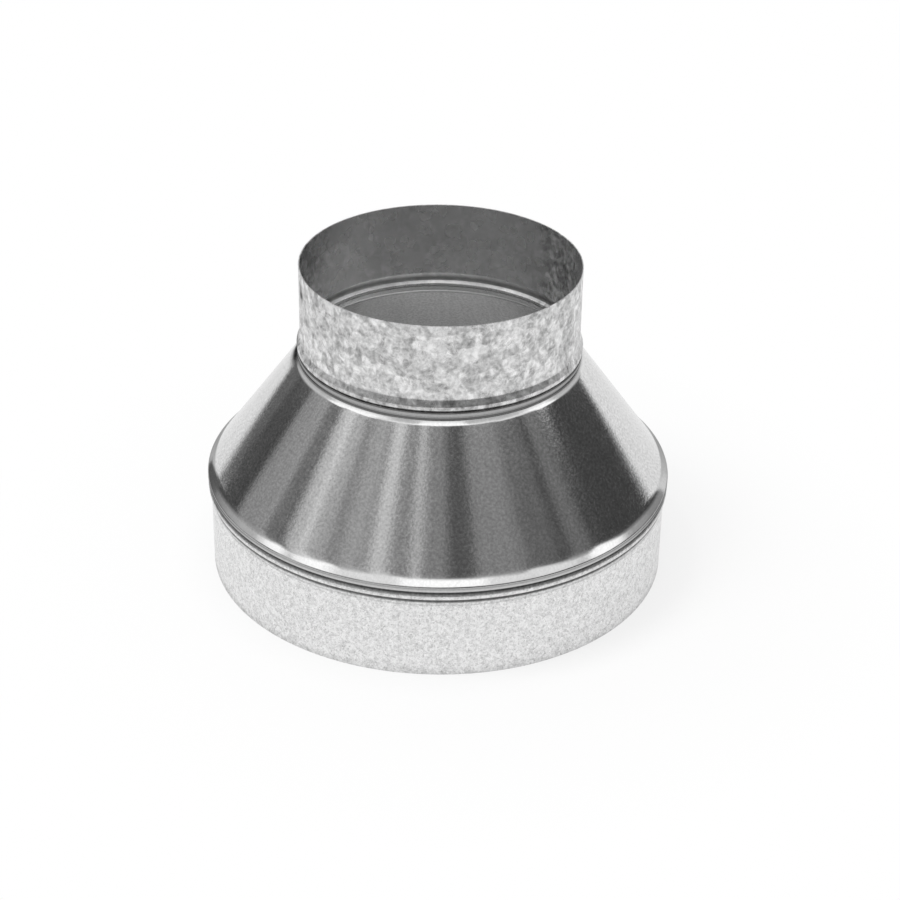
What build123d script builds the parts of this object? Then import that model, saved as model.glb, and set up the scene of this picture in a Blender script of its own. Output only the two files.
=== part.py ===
from build123d import *
import os

# Conical duct reducer: a small collar, a cone and a large collar, locked together by two rolled seams.
# It stands on the rim of the large collar. The origin is the centre of that rim, and +Z runs up the
# common axis to the small end. Sizes are in millimetres.

# Overall sizes
sheet = 0.55
small_diameter = 152.4
large_diameter = 254.0
overall_height = 178.5

# Clearance between two sheets that are folded into one seam
seam_gap = 0.15

# Small collar: plain wall, then a bead that sits over the cone's neck, then a tail inside the neck
small_wall_length = 42.3
bead_height = 1.7
bead_flank = 3.6
bead_crest = 1.6
bead_underside = 1.4
tail_length = 1.9

# Cone: hemmed neck, flare to the taper, flatter shoulder, and a skirt that is hemmed inwards
hem_drop = 0.4
neck_hem_length = 2.4
neck_height = 4.5
neck_flare_out = 2.0
neck_flare_drop = 1.8
shoulder_out = 4.5
shoulder_drop = 3.9
skirt_height = 3.8
skirt_hem_length = 2.15
lip_height = 52.3
lip_step = 1.7

# Large collar: edge turned out over the skirt's hem, locking bead, second bead, plain wall
bead_clearance = 0.8
lock_bead_rise = 1.3
lock_bead_flank = 1.5
lock_bead_crest = 2.2
groove_fall = 1.5
groove_flank = 0.9
second_bead_rise = 0.8
second_bead_flank = 1.3
second_bead_foot = 2.6

small_radius = small_diameter / 2
large_radius = large_diameter / 2


def follow(start, moves):
    """The corners of a sheet's outer face, from a start point and (outwards, downwards) moves."""
    corners = [start]
    for outwards, downwards in moves:
        radius, height = corners[-1]
        corners.append((radius + outwards, height - downwards))
    return corners


# Each sheet is drawn as the corners of its outer face, from the top down, and thickened inwards.

# Upper seam: the cone's hemmed neck stands close below the small collar's bead, and the collar's short
# tail is pressed into the neck
bead_drop = small_wall_length + bead_flank + bead_crest + bead_underside
bead_foot = overall_height - bead_drop
neck_top = bead_foot - hem_drop

with BuildPart() as small_collar:
    with BuildSketch(Plane.XZ):
        with BuildLine():
            collar = follow(
                (small_radius, overall_height),
                [
                    (0, small_wall_length),
                    (bead_height, bead_flank),
                    (0, bead_crest),
                    (-bead_height, bead_underside),
                    (0, tail_length),
                ],
            )
            Polyline(collar)
            offset(amount=sheet, side=Side.RIGHT, kind=Kind.INTERSECTION)
        make_face()
    revolve(axis=Axis.Z)

# Cone: its neck is hemmed outwards at the top, and its skirt is hemmed inwards at the lip
neck_face = small_radius + seam_gap + sheet
skirt_face = large_radius + lip_step
hem_width = 2 * sheet + seam_gap

with BuildPart() as cone:
    with BuildSketch(Plane.XZ):
        with BuildLine():
            neck = follow(
                (neck_face + seam_gap, neck_top - neck_hem_length),
                [
                    (0, sheet - neck_hem_length),
                    (-seam_gap, 0),
                    (0, neck_height - sheet),
                    (neck_flare_out, neck_flare_drop),
                ],
            )
            skirt = follow(
                (skirt_face - shoulder_out, lip_height + skirt_height + shoulder_drop),
                [
                    (shoulder_out, shoulder_drop),
                    (0, skirt_height),
                    (-hem_width, 0),
                    (0, -skirt_hem_length),
                ],
            )
            Polyline(neck + skirt)
            offset(amount=sheet, side=Side.RIGHT, kind=Kind.INTERSECTION)
        make_face()
    revolve(axis=Axis.Z)

# Large collar: its turned-out edge rests on the skirt's hem, and its locking bead holds the lip from below
edge_seat = lip_height + skirt_hem_length + seam_gap
edge_width = sheet + seam_gap
lock_face = skirt_face - hem_width - seam_gap

with BuildPart() as large_collar:
    with BuildSketch(Plane.XZ):
        with BuildLine():
            beads = follow(
                (lock_face + edge_width, edge_seat),
                [
                    (-edge_width, 0),
                    (0, edge_seat - lip_height + bead_clearance),
                    (lock_bead_rise, lock_bead_flank),
                    (0, lock_bead_crest),
                    (-groove_fall, groove_flank),
                    (second_bead_rise, second_bead_flank),
                ],
            )
            wall_top = beads[-1][1] - second_bead_foot
            Polyline(beads + [(large_radius, wall_top), (large_radius, 0)])
            offset(amount=sheet, side=Side.RIGHT, kind=Kind.INTERSECTION)
        make_face()
    revolve(axis=Axis.Z)

os.makedirs("parts", exist_ok=True)
small_collar.part.label = "small_collar"
cone.part.label = "cone"
large_collar.part.label = "large_collar"
export_step(small_collar.part, "parts/small_collar.step")
export_step(cone.part, "parts/cone.step")
export_step(large_collar.part, "parts/large_collar.step")
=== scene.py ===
from math import atan2, ceil, cos, degrees, pi, radians, sin, tan

import bpy
import numpy as np
from mathutils import Matrix, Vector


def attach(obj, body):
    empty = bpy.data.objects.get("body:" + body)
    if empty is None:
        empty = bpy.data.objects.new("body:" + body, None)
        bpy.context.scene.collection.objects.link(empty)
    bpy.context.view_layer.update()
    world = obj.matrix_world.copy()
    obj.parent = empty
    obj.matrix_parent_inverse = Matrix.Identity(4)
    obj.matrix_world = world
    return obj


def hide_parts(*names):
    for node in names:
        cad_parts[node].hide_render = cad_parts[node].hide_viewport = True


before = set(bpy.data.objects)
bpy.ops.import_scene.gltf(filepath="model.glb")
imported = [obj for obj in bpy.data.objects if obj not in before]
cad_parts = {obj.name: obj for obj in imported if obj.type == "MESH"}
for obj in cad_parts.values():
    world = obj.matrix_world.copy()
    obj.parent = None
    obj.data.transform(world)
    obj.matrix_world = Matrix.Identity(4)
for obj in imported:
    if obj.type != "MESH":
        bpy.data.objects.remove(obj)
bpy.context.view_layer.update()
scene = bpy.context.scene
scene.view_settings.view_transform = "Standard"
MM = 0.001

# Corners of each sheet's outer face, from the top down: radius, height and bend radius in millimetres
SHEET = 0.55
SMALL_COLLAR = [
    (76.2, 178.5, 0.0), (76.2, 136.2, 2.0), (77.9, 132.6, 1.3), (77.9, 130.7, 0.7), (76.2, 129.1, 1.0),
    (76.2, 127.7, 0.0),
]
CONE = [
    (77.05, 126.8, 0.0), (77.05, 128.65, 0.07), (76.9, 128.65, 0.07), (76.9, 124.7, 1.2), (78.9, 122.9, 5.0),
    (124.9, 59.03, 20.0), (128.7, 55.3, 1.3), (128.7, 52.3, 0.61), (127.45, 52.3, 0.61),
    (127.45, 54.45, 0.0),
]
LARGE_COLLAR = [
    (127.75, 54.6, 0.0), (127.3, 54.6, 0.15), (127.3, 51.5, 0.4), (128.6, 50.0, 1.0), (128.6, 47.8, 1.0),
    (127.1, 46.9, 0.5), (127.9, 45.6, 1.0), (127.0, 43.0, 3.0), (127.0, 0.0, 0.0),
]
TAPER = atan2(45.3, 62.9)

# Painted shade in the seams' gaps and grooves and along the bottom edge, darker spots at the left of the
# upper seam, and a mark
# on the small collar: face of the sheet, radius and height in millimetres, reach and darkness. What isn't
# all round also has its bearing and half width in degrees
OUTER, INNER = 0, 1
ALL_ROUND = (0, 360)
SMALL_SHADE_AND_MARKS = [
    (OUTER, 76.2, 128.6, 2.2, 0.2), (OUTER, 76.8, 130.0, 0.8, 0.2),
    (INNER, 75.65, 127.7, 0.5, 0.7), (INNER, 77.0, 133.0, 2.0, 0.45),
    # Darker spot at the left of the bead, and the mark higher up by the collar's seam
    (OUTER, 77.9, 131.6, 1.8, 0.75, -88, 7), (OUTER, 76.2, 168.0, 2.8, 0.75, -75.5, 2.6),
]
CONE_SHADE_AND_DARK_SPOTS = [
    (INNER, 77.5, 129.0, 0.85, 0.75), (INNER, 77.6, 126.7, 0.6, 0.6), (OUTER, 76.9, 125.5, 1.2, 0.85),
    # Darker spots at the left side of the upper seam
    (INNER, 77.6, 128.0, 1.6, 0.75, -90, 8), (OUTER, 78.3, 123.0, 3.4, 0.85, -91, 9),
    (OUTER, 128.7, 54.4, 0.9, 0.5), (OUTER, 128.2, 52.4, 0.7, 0.6),
]
LARGE_PAINTED_SHADE = [
    (OUTER, 127.6, 51.1, 1.4, 0.82), (OUTER, 127.2, 46.7, 1.2, 0.75), (OUTER, 127.3, 43.9, 0.8, 0.25),
    # Painted contact shadow along the bottom edge
    (OUTER, 127.0, 0.0, 0.6, 0.2),
]

# Mesh: columns round the axis, shortest straight run and width of the rows beside a bend in millimetres, and
# degrees in one step of a bend
SEGMENTS = 384
SHORTEST_RUN = 0.02
GUARD = 0.25
BEND_STEP = 9
# Shift between the patterns of a sheet's two faces
FACE_SHIFT = 500


def bent_line(corners, longest):
    """Points along a sheet's outer face, its bends rounded, each with its right-hand normal."""
    points = []
    start = Vector(corners[0][:2])
    for i in range(1, len(corners)):
        corner = Vector(corners[i][:2])
        bend = corners[i][2]
        before = (corner - Vector(corners[i - 1][:2])).normalized()
        turn, setback = 0.0, 0.0
        if i + 1 < len(corners):
            after = (Vector(corners[i + 1][:2]) - corner).normalized()
            turn = atan2(before.x * after.y - before.y * after.x, before.dot(after))
            setback = bend * tan(abs(turn) / 2)
        end = corner - before * setback
        run = (end - start).length
        normal = Vector((before.y, -before.x))
        if run > SHORTEST_RUN:
            guard = min(GUARD, run / 3)
            count = max(1, ceil((run - 2 * guard) / longest))
            steps = [0.0] + [guard + (run - 2 * guard) * k / count for k in range(count + 1)] + [run]
            points += [(start + before * s, normal) for s in steps]
        if turn:
            side = 1 if turn > 0 else -1
            centre = end - normal * bend * side
            count = max(2, ceil(abs(degrees(turn)) / BEND_STEP))
            for k in range(0 if run <= SHORTEST_RUN else 1, count):
                spun = Matrix.Rotation(turn * k / count, 2) @ normal
                points.append((centre + spun * bend * side, spun))
            start = centre + (Matrix.Rotation(turn, 2) @ normal) * bend * side
    return points


def shade_and_mark_map(shade_and_marks, radius, height, side, angle):
    """Darkness of the painted seam shade and the marks on each row and column of a sheet."""
    shade_and_mark_depth = np.zeros((len(radius), len(angle)))
    for at_side, at_radius, at_height, reach, darkness, *where in shade_and_marks:
        gap = np.hypot(radius - at_radius, height - at_height) / reach
        spot = darkness * (np.exp(-gap ** 2) * (side == at_side))
        bearing, width = where or ALL_ROUND
        off = (np.degrees(angle) - bearing + 180) % 360 - 180
        here = np.clip(1.5 - np.abs(off) / width, 0, 1)
        shade_and_mark_depth = np.maximum(shade_and_mark_depth, spot[:, None] * here[None, :])
    return shade_and_mark_depth


def lathe(name, corners, shade_and_marks, longest, seam, half_angle=0, wave=None):
    """A sheet of revolution, thickened inwards, with flat-pattern coordinates and painted seam shade and
    marks for its material.
    """
    line = bent_line(corners, longest)
    outer = [p for p, n in line]
    inner = [p + n * SHEET for p, n in line]
    ring = outer + inner[::-1]
    lengths = np.concatenate([[0], np.cumsum([(b - a).length for a, b in zip(outer, outer[1:])])])
    travel = np.concatenate([lengths, lengths[::-1]])
    side = np.concatenate([np.full(len(outer), float(OUTER)), np.full(len(inner), float(INNER))])
    rows = len(ring)
    radius = np.array([p.x for p in ring])
    height = np.array([p.y for p in ring])
    angle = radians(seam) + np.arange(SEGMENTS) * 2 * pi / SEGMENTS
    r = np.repeat(radius[:, None], SEGMENTS, 1)
    z = np.repeat(height[:, None], SEGMENTS, 1)
    if wave:
        r = r + wave(angle[None, :], z)
    vertices = np.stack([r * np.sin(angle) * MM, -r * np.cos(angle) * MM, z * MM], -1).reshape(-1, 3)
    i, j = np.meshgrid(np.arange(rows), np.arange(SEGMENTS), indexing="ij")
    near, far = (j + 1) % SEGMENTS, (i + 1) % rows
    row = np.stack([i, far, far, i], -1)
    column = np.stack([j, j, near, near], -1)
    faces = (row * SEGMENTS + column).reshape(-1, 4)
    mesh = bpy.data.meshes.new(name)
    mesh.from_pydata(vertices.tolist(), [], faces.tolist())
    # Each corner knows its place on the flat sheet in millimetres, its turn, travel and side, and its
    # painted shade and marks
    turn = np.stack([j, j, j + 1, j + 1], -1) * (2 * pi / SEGMENTS)
    along = travel[row]
    if half_angle:
        slant = radius[0] / sin(half_angle) + along
        swing = turn * sin(half_angle)
        across, down = slant * np.cos(swing), slant * np.sin(swing)
    else:
        across, down = turn * radius[0], along
    flat = np.stack([across, down, side[row] * FACE_SHIFT], -1)
    place = np.stack([turn, along, side[row]], -1)
    for label, values in (("flat", flat), ("place", place)):
        layer = mesh.attributes.new(label, "FLOAT_VECTOR", "CORNER")
        layer.data.foreach_set("vector", values.reshape(-1).astype(np.float32))
    shade_and_mark_depth = shade_and_mark_map(shade_and_marks, radius, height, side, angle)[row, column]
    layer = mesh.attributes.new("shade_and_marks", "FLOAT", "CORNER")
    layer.data.foreach_set("value", shade_and_mark_depth.reshape(-1).astype(np.float32))
    mesh.polygons.foreach_set("use_smooth", np.ones(len(faces), bool))
    mesh.update()
    piece = bpy.data.objects.new(name, mesh)
    scene.collection.objects.link(piece)
    return piece


# Unevenness of the cone: size, count round the axis and phase of each wave, then the depth in millimetres
WAVES = [(0.5, 7, 0.4), (0.8, 13, 2.1), (0.5, 22, 4.0)]
WAVE_DEPTH = 0.03
WAVE_LOW, WAVE_HIGH, WAVE_FADE = 62, 122, 12


def cone_wave(angle, z):
    """Slight unevenness of the rolled cone along its generators, always inwards, in millimetres."""
    fade = np.clip((z - WAVE_LOW) / WAVE_FADE, 0, 1) * np.clip((WAVE_HIGH - z) / WAVE_FADE, 0, 1)
    sway = sum(size * np.sin(count * angle + phase) for size, count, phase in WAVES)
    return -WAVE_DEPTH * fade * (sum(size for size, count, phase in WAVES) + sway)


small_piece = lathe("small_collar_sheet", SMALL_COLLAR, SMALL_SHADE_AND_MARKS, longest=4.0, seam=-84)
cone_piece = lathe("cone_sheet", CONE, CONE_SHADE_AND_DARK_SPOTS, longest=2.5, seam=150, half_angle=TAPER, wave=cone_wave)
large_piece = lathe("large_collar_sheet", LARGE_COLLAR, LARGE_PAINTED_SHADE, longest=5.0, seam=165)


class Nodes:
    """Adds nodes to a tree, setting or linking their inputs by name or number."""

    def __init__(self, owner):
        owner.use_nodes = True
        self.tree = owner.node_tree
        self.tree.nodes.clear()

    def add(self, kind, inputs=None, **settings):
        made = self.tree.nodes.new(kind)
        for key, value in settings.items():
            setattr(made, key, value)
        for key, value in (inputs or {}).items():
            if isinstance(value, bpy.types.NodeSocket):
                self.tree.links.new(value, made.inputs[key])
            else:
                made.inputs[key].default_value = value
        return made

    def math(self, operation, *values):
        return self.add("ShaderNodeMath", dict(enumerate(values)), operation=operation).outputs[0]

    def span(self, value, low, high, to_low, to_high):
        inputs = {0: value, 1: low, 2: high, 3: to_low, 4: to_high}
        return self.add("ShaderNodeMapRange", inputs, clamp=True).outputs[0]

    def swing(self, value, size):
        """A value from 0 to 1 as a swing about 0 of a given size."""
        return self.math("MULTIPLY", self.math("SUBTRACT", value, 0.5), size)

    def vector(self, operation, *values):
        return self.add("ShaderNodeVectorMath", dict(enumerate(values)), operation=operation).outputs[0]

    def noise(self, at, scale, detail=2.0, rough=0.5):
        inputs = {"Vector": at, "Scale": scale, "Detail": detail, "Roughness": rough}
        return self.add("ShaderNodeTexNoise", inputs, noise_dimensions="2D")

    def attribute(self, name):
        return self.add("ShaderNodeAttribute", attribute_name=name)

    def grey(self, value):
        return self.add("ShaderNodeCombineColor", {0: value, 1: value, 2: value}).outputs[0]


# Limits of the zinc's grey, the roughness that the painted shade and the marks add, and the height of the
# relief in metres
DARKEST, LIGHTEST = 0.03, 0.97
SHADE_AND_MARK_ROUGHNESS = 0.3
RELIEF_HEIGHT = 0.0002


def zinc(n, grey, gloss, relief, bump, metallic=1.0, edge=1.0):
    """Metal shader with painted shade in the seams and the marks, linked to the material's output."""
    # Painted seam shade and the marks darken the grey, add roughness and dim the edge tint
    shade_and_mark_depth = n.attribute("shade_and_marks").outputs["Fac"]
    unshaded_share = n.math("SUBTRACT", 1.0, shade_and_mark_depth)
    grey = n.math("MULTIPLY", grey, unshaded_share)
    grey = n.math("MINIMUM", n.math("MAXIMUM", grey, DARKEST), LIGHTEST)
    lump = n.add("ShaderNodeBump", {"Strength": bump, "Distance": RELIEF_HEIGHT, "Height": relief})
    inputs = {
        "Base Color": n.grey(grey),
        "Metallic": metallic,
        "Roughness": n.math("ADD", gloss, n.math("MULTIPLY", shade_and_mark_depth, SHADE_AND_MARK_ROUGHNESS)),
        "Normal": lump.outputs[0],
        "Specular Tint": n.grey(n.math("MULTIPLY", edge, unshaded_share)),
    }
    metal = n.add("ShaderNodeBsdfPrincipled", inputs)
    n.add("ShaderNodeOutputMaterial", {0: metal.outputs[0]})


# Stretches of strong crystals on the inner faces: turn in radians, how far off they start to fade and end,
# and strength
STRETCHES = [(3.5, 0.12, 0.34, 1.3), (6.0, 0.12, 0.5, 0.8)]
# Inner faces against outer ones: grey, roughness and metallic
INNER_GREY, INNER_ROUGHNESS, INNER_METALLIC = 0.86, 0.8, 0.86


def spangle_material(name, cell, warp, contrast, feather_contrast, speck, level, rough, bump, inner_keep):
    """Galvanised zinc: soft feathery crystals of a given size, each with its own shade, gloss and grain."""
    material = bpy.data.materials.new(name)
    n = Nodes(material)
    flat = n.attribute("flat").outputs["Vector"]
    place = n.add("ShaderNodeSeparateXYZ", {0: n.attribute("place").outputs["Vector"]})
    turn, side = place.outputs[0], place.outputs[2]
    drift = n.vector("SUBTRACT", n.noise(flat, 0.5 / cell, 3.0, 0.6).outputs["Color"], (0.5, 0.5, 0.5))
    moved = n.vector("ADD", flat, n.vector("MULTIPLY", drift, (warp, warp, 0)))
    crystals = n.add("ShaderNodeTexVoronoi", {"Vector": moved, "Scale": 1 / cell, "Smoothness": 0.6},
                     voronoi_dimensions="2D", feature="SMOOTH_F1")
    shade = n.add("ShaderNodeSeparateColor", {0: crystals.outputs["Color"]})
    spin = n.math("MULTIPLY", shade.outputs[0], 9.0)
    turned = n.add("ShaderNodeVectorRotate", {"Vector": moved, "Angle": spin}, rotation_type="Z_AXIS")
    drawn = n.vector("MULTIPLY", turned.outputs[0], (0.8 / cell, 1.9 / cell, 0))
    feather = n.noise(drawn, 1.0, 3.0, 0.6).outputs[0]
    mottle = n.noise(moved, 1.4 / cell, 3.0, 0.6).outputs[0]
    patches = n.noise(flat, 0.2 / cell, 3.0).outputs[0]
    specks = n.span(n.noise(flat, 1.4 / cell, 1.0).outputs[0], 0.60, 0.72, 0.0, speck)
    large = n.math("ADD", n.swing(shade.outputs[1], contrast), n.swing(feather, feather_contrast))
    small = n.math("ADD", n.swing(mottle, feather_contrast), n.swing(patches, feather_contrast * 0.2))
    tone = n.math("SUBTRACT", n.math("ADD", large, small), specks)
    # Inner face: smoother and flatter in shade, but for the stretches of strong crystals
    strong = []
    for centre, fade, end, strength in STRETCHES:
        off = n.math("ABSOLUTE", n.math("SUBTRACT", turn, centre))
        strong.append(n.span(off, fade, end, strength, inner_keep))
    keep = n.add("ShaderNodeMix", {0: side, 2: 1.0, 3: n.math("MAXIMUM", *strong)}).outputs[0]
    grey = n.math("ADD", n.math("MULTIPLY", tone, keep), n.span(side, 0.0, 1.0, level, level * INNER_GREY))
    sheen = n.swing(shade.outputs[2], n.math("MULTIPLY", keep, rough * 0.5))
    gloss = n.math("ADD", sheen, n.span(side, 0.0, 1.0, rough, rough * INNER_ROUGHNESS))
    relief = n.math("MULTIPLY", n.math("ADD", n.math("MULTIPLY", shade.outputs[1], 0.3), feather), keep)
    zinc(n, grey, gloss, relief, bump, metallic=n.span(side, 0.0, 1.0, 1.0, INNER_METALLIC))
    return material


# Travel along the cone's sheet, in millimetres, where the taper starts and ends
TAPER_START, TAPER_END = (8.5, 10.0), (86.0, 87.5)
# Grain and edge tint of the bent ends, against 1 on the taper
BENT_GRAIN, SHOULDER_EDGE = 0.35, 0.45


def rolled_zinc_material(name, level, rough, bump):
    """Bright rolled zinc of the cone: fine grain, and faint rolling streaks along the generators."""
    material = bpy.data.materials.new(name)
    n = Nodes(material)
    flat = n.attribute("flat").outputs["Vector"]
    place = n.attribute("place").outputs["Vector"]
    grain = n.noise(flat, 0.6, 3.0, 0.75).outputs[0]
    clouds = n.noise(flat, 0.12, 3.0, 0.6).outputs[0]
    streaks = n.noise(n.vector("MULTIPLY", place, (26.0, 0.012, 0)), 1.0, 3.0, 0.65).outputs[0]
    tone = n.math("ADD", n.swing(grain, 0.7), n.swing(streaks, 0.14))
    tone = n.math("ADD", tone, n.swing(clouds, 0.12))
    mixed = n.math("ADD", n.math("MULTIPLY", grain, 0.6), n.math("MULTIPLY", clouds, 0.4))
    gloss = n.span(mixed, 0.3, 0.7, rough * 0.7, rough * 1.4)
    travel = n.add("ShaderNodeSeparateXYZ", {0: place}).outputs[1]
    begun = n.span(travel, *TAPER_START, BENT_GRAIN, 1.0)
    calm = n.math("MINIMUM", begun, n.span(travel, *TAPER_END, 1.0, BENT_GRAIN))
    grey = n.math("ADD", n.math("MULTIPLY", tone, calm), level)
    edge = n.span(travel, *TAPER_END, 1.0, SHOULDER_EDGE)
    zinc(n, grey, gloss, n.math("MULTIPLY", grain, calm), bump, edge=edge)
    return material


coarse = spangle_material(
    "coarse_spangle", cell=4.2, warp=2.6, contrast=0.38, feather_contrast=0.78, speck=0.0, level=0.65,
    rough=0.33, bump=0.20, inner_keep=0.22,
)
fine = spangle_material(
    "fine_spangle", cell=1.2, warp=0.8, contrast=0.28, feather_contrast=0.92, speck=0.25, level=0.84,
    rough=0.34, bump=0.15, inner_keep=0.25,
)
bright = rolled_zinc_material("smooth_zinc", level=0.70, rough=0.10, bump=0.16)
for piece, node, slot, material in (
    (small_piece, "small_collar", "coarse_spangle", coarse),
    (cone_piece, "cone", "smooth_zinc", bright),
    (large_piece, "large_collar", "fine_spangle", fine),
):
    piece.data.materials.append(material)
    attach(piece, "root")
    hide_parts(node)

# White studio floor: mostly its own white outside the reducer, so that the shadow stays faint.
# Under the reducer its glow is cut back, as painted shade on the floor inside
FLOOR_HALF = 30
RIM_INSIDE, RIM_OUTSIDE = 0.1262, 0.1268
WHITE_START, WHITE_END = 0.16, 0.27
floor_corners = [(x * FLOOR_HALF, y * FLOOR_HALF, 0) for x, y in ((-1, -1), (1, -1), (1, 1), (-1, 1))]
floor_mesh = bpy.data.meshes.new("floor")
floor_mesh.from_pydata(floor_corners, [], [(0, 1, 2, 3)])
floor = bpy.data.objects.new("floor", floor_mesh)
scene.collection.objects.link(floor)
paper = bpy.data.materials.new("floor_paper")
n = Nodes(paper)
at = n.add("ShaderNodeTexCoord").outputs["Object"]
reach = n.add("ShaderNodeVectorMath", {0: at}, operation="LENGTH").outputs["Value"]
# Under the reducer the floor's glow falls from 0.76 to 0.13: painted shade on the floor inside it
near_white = n.span(reach, RIM_INSIDE, RIM_OUTSIDE, 0.13, 0.76)
outside = n.math("ADD", near_white, n.span(reach, WHITE_START, WHITE_END, 0.0, 0.24))
lit = n.add("ShaderNodeBsdfDiffuse", {"Color": (0.94, 0.94, 0.94, 1)})
camera_ray = n.add("ShaderNodeLightPath").outputs["Is Camera Ray"]
own_white = n.span(camera_ray, 0.0, 1.0, 0.9, 1.0)
glow = n.add("ShaderNodeEmission", {"Color": (1, 1, 1, 1), "Strength": own_white})
mixed = n.add("ShaderNodeMixShader", {0: outside, 1: lit.outputs[0], 2: glow.outputs[0]})
n.add("ShaderNodeOutputMaterial", {0: mixed.outputs[0]})
floor_mesh.materials.append(paper)

# World: white where it is seen or mirrored, a plain level for light
WORLD_LIGHT = 0.45
world = bpy.data.worlds.new("studio")
scene.world = world
n = Nodes(world)
path = n.add("ShaderNodeLightPath")
seen = n.math("MAXIMUM", path.outputs["Is Camera Ray"], path.outputs["Is Glossy Ray"])
seen = n.math("MAXIMUM", seen, path.outputs["Is Transmission Ray"])
white = n.span(seen, 0.0, 1.0, WORLD_LIGHT, 1.0)
back = n.add("ShaderNodeBackground", {"Color": (1, 1, 1, 1), "Strength": white})
n.add("ShaderNodeOutputWorld", {0: back.outputs[0]})


def studio_card(name, azimuths, elevations, radius, strength, cover):
    """A card of the studio round the object, seen only in its reflections.

    Azimuth 0 is the camera's side and 90 its right. Elevations, strength and cover are grids of azimuth by
    height.
    """
    a, e = np.radians(azimuths)[:, None], np.radians(elevations)
    places = np.stack([np.sin(a) * np.cos(e), -np.cos(a) * np.cos(e), np.sin(e)], -1) * radius
    wide, tall = elevations.shape
    faces = [
        (i * tall + j, (i + 1) * tall + j, (i + 1) * tall + j + 1, i * tall + j + 1)
        for i in range(wide - 1) for j in range(tall - 1)
    ]
    mesh = bpy.data.meshes.new(name)
    mesh.from_pydata(places.reshape(-1, 3).tolist(), [], faces)
    for label, values in (("strength", strength), ("cover", cover)):
        layer = mesh.attributes.new(label, "FLOAT", "POINT")
        grid = np.broadcast_to(values, elevations.shape)
        layer.data.foreach_set("value", grid.reshape(-1).astype(np.float32))
    cloth = bpy.data.materials.new(name)
    n = Nodes(cloth)
    light = n.add("ShaderNodeEmission", {"Strength": n.attribute("strength").outputs["Fac"]})
    clear = n.add("ShaderNodeBsdfTransparent")
    hidden = n.attribute("cover").outputs["Fac"]
    both = n.add("ShaderNodeMixShader", {0: hidden, 1: clear.outputs[0], 2: light.outputs[0]})
    n.add("ShaderNodeOutputMaterial", {0: both.outputs[0]})
    mesh.materials.append(cloth)
    card = bpy.data.objects.new(name, mesh)
    scene.collection.objects.link(card)
    for way in ("camera", "diffuse", "shadow", "transmission", "volume_scatter"):
        setattr(card, "visible_" + way, False)


# Dark studio with lighter panels along its walls, a pale ceiling and softboxes, by azimuth and elevation in
# degrees
DARK, CEILING = 0.11, 0.70
STUDIO_RADIUS = 3.0
PANEL_FADE, CEILING_FADE, SOFTBOX_FADE, EDGE_FADE = 3, 13, 4, 1.5
# Lower edge of the studio: azimuth, elevation
EDGE = [
    (-180, 3), (-160, 0), (-150, -1), (-134, -1), (-120, 1), (-105, 3), (-60, 4), (60, 4), (105, 4),
    (130, 3.2), (138, 14), (155, 14), (180, 3),
]
# Panels: from azimuth, to azimuth, strength
WALL_PANELS = [
    (-128, -116, 0.15), (-108, -93, 0.56), (-92, -84, 0.29), (-78, -70, 0.80), (-69, -60, 0.58),
    (-57, -50, 0.33), (-48, -40, 0.46), (-35, -27, 0.72), (-24, -18, 0.30), (-13, -10, 0.65), (-6, 4, 0.27),
    (22, 44, 0.29), (46, 62, 0.18), (71, 79, 0.25),
]
# Lower edge of the ceiling: azimuth, elevation
CEILING_EDGE = [
    (-180, 3), (-138, 3), (-130, 6.5), (-124, 9), (-112, 14), (-100, 25), (-60, 37), (0, 46), (60, 37),
    (100, 23), (112, 15), (118, 12.5), (124, 9), (130, 4), (138, 0), (180, 0),
]
# Softboxes, the later over the earlier: from azimuth, to azimuth, from elevation, to elevation, strength
SOFTBOXES = [
    (-98, -86, 34, 58, 1.4), (-86, -58, 42, 62, 1.4), (-62, -20, 49, 56, 1.0), (28, 52, 50, 56, 1.0),
    (52, 84, 42, 48, 1.0), (-20, 28, 52, 74, 1.4), (86, 103, 30, 47, 1.4), (-180, 180, 74, 90, 1.6),
]


def window(values, low, high, feather):
    """1 between two limits, falling to 0 over a feather outside them."""
    return np.clip((values - low) / feather + 1, 0, 1) * np.clip((high - values) / feather + 1, 0, 1)


around = np.linspace(-180, 180, 361)[:, None]
edge = np.interp(around, *zip(*EDGE))
rise = np.concatenate([[0, 0.005, 0.01], np.linspace(0.02, 1, 50)])
climb = edge + (90 - edge) * rise
wall = np.full(climb.shape, DARK)
for start, stop, strength in WALL_PANELS:
    wall += (strength - DARK) * window(around, start, stop, PANEL_FADE)
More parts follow.
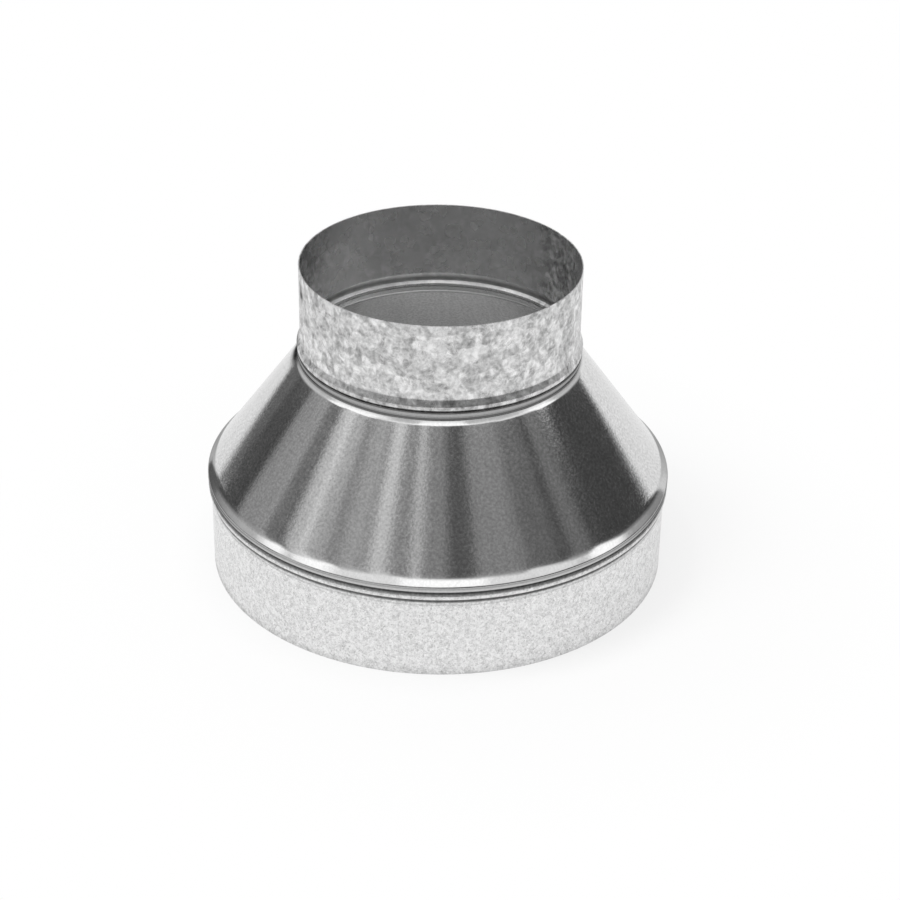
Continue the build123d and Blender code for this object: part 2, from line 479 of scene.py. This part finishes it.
# Walls grow brighter with height
wall *= np.clip(1 + 0.02 * (climb - 38), 0.6, 1.25)
above = np.clip((climb - np.interp(around, *zip(*CEILING_EDGE))) / CEILING_FADE, 0, 1)
glow_map = wall * (1 - above) + CEILING * above
for start, stop, low, high, strength in SOFTBOXES:
    lit_here = window(around, start, stop, SOFTBOX_FADE) * window(climb, low, high, SOFTBOX_FADE)
    glow_map = glow_map * (1 - lit_here) + strength * lit_here
edge_cover = np.clip((climb - edge) / EDGE_FADE, 0, 1)
studio_card("studio", around[:, 0], climb, STUDIO_RADIUS, glow_map, edge_cover)

# Dark flag that stands on the floor behind the object, on the left
FLAG_TOP, FLAG_FADE, FLAG_RADIUS, FLAG_STRENGTH = 14, 4, 1.2, 0.15
flag_azimuths = np.linspace(-155, -125, 31)
flag_climb = np.broadcast_to(np.linspace(0, FLAG_TOP, 15), (31, 15))
flag_cover = np.clip((FLAG_TOP - flag_climb) / FLAG_FADE, 0, 1)
studio_card("flag", flag_azimuths, flag_climb, FLAG_RADIUS, FLAG_STRENGTH, flag_cover)


def disk_light(name, size, energy, location):
    """A round area light that no reflection shows. It points down until it is turned."""
    light = bpy.data.objects.new(name, bpy.data.lights.new(name, "AREA"))
    light.data.shape = "DISK"
    light.data.size = size
    light.data.energy = energy
    light.location = location
    light.visible_glossy = False
    scene.collection.objects.link(light)
    return light


# Soft key from the left, which lays a faint shadow to the right, and the overhead softbox's own light, which
# reaches the floor inside
key = disk_light("key", size=0.9, energy=18, location=(-0.9, -0.35, 1.9))
key.rotation_euler = (Vector((0, 0, 0.05)) - key.location).to_track_quat("-Z", "Y").to_euler()
disk_light("top", size=1.2, energy=8, location=(0, 0, 1.8))

# Camera at the photograph's place
PITCH, YAW, ROLL = radians(30.06), radians(0.351), radians(1.0)
EYE = (0, -1.0671, 0.6803)
ahead = Vector((sin(YAW) * cos(PITCH), cos(YAW) * cos(PITCH), -sin(PITCH)))
across = Vector((cos(YAW), -sin(YAW), 0))
over = across.cross(ahead)
right = cos(ROLL) * across + sin(ROLL) * over
upward = -sin(ROLL) * across + cos(ROLL) * over
camera = bpy.data.objects.new("camera", bpy.data.cameras.new("camera"))
camera.data.sensor_width = 36
camera.data.lens = 88
camera.matrix_world = Matrix.Translation(EYE) @ Matrix((right, upward, -ahead)).transposed().to_4x4()
scene.collection.objects.link(camera)
scene.camera = camera

bpy.context.view_layer.update()
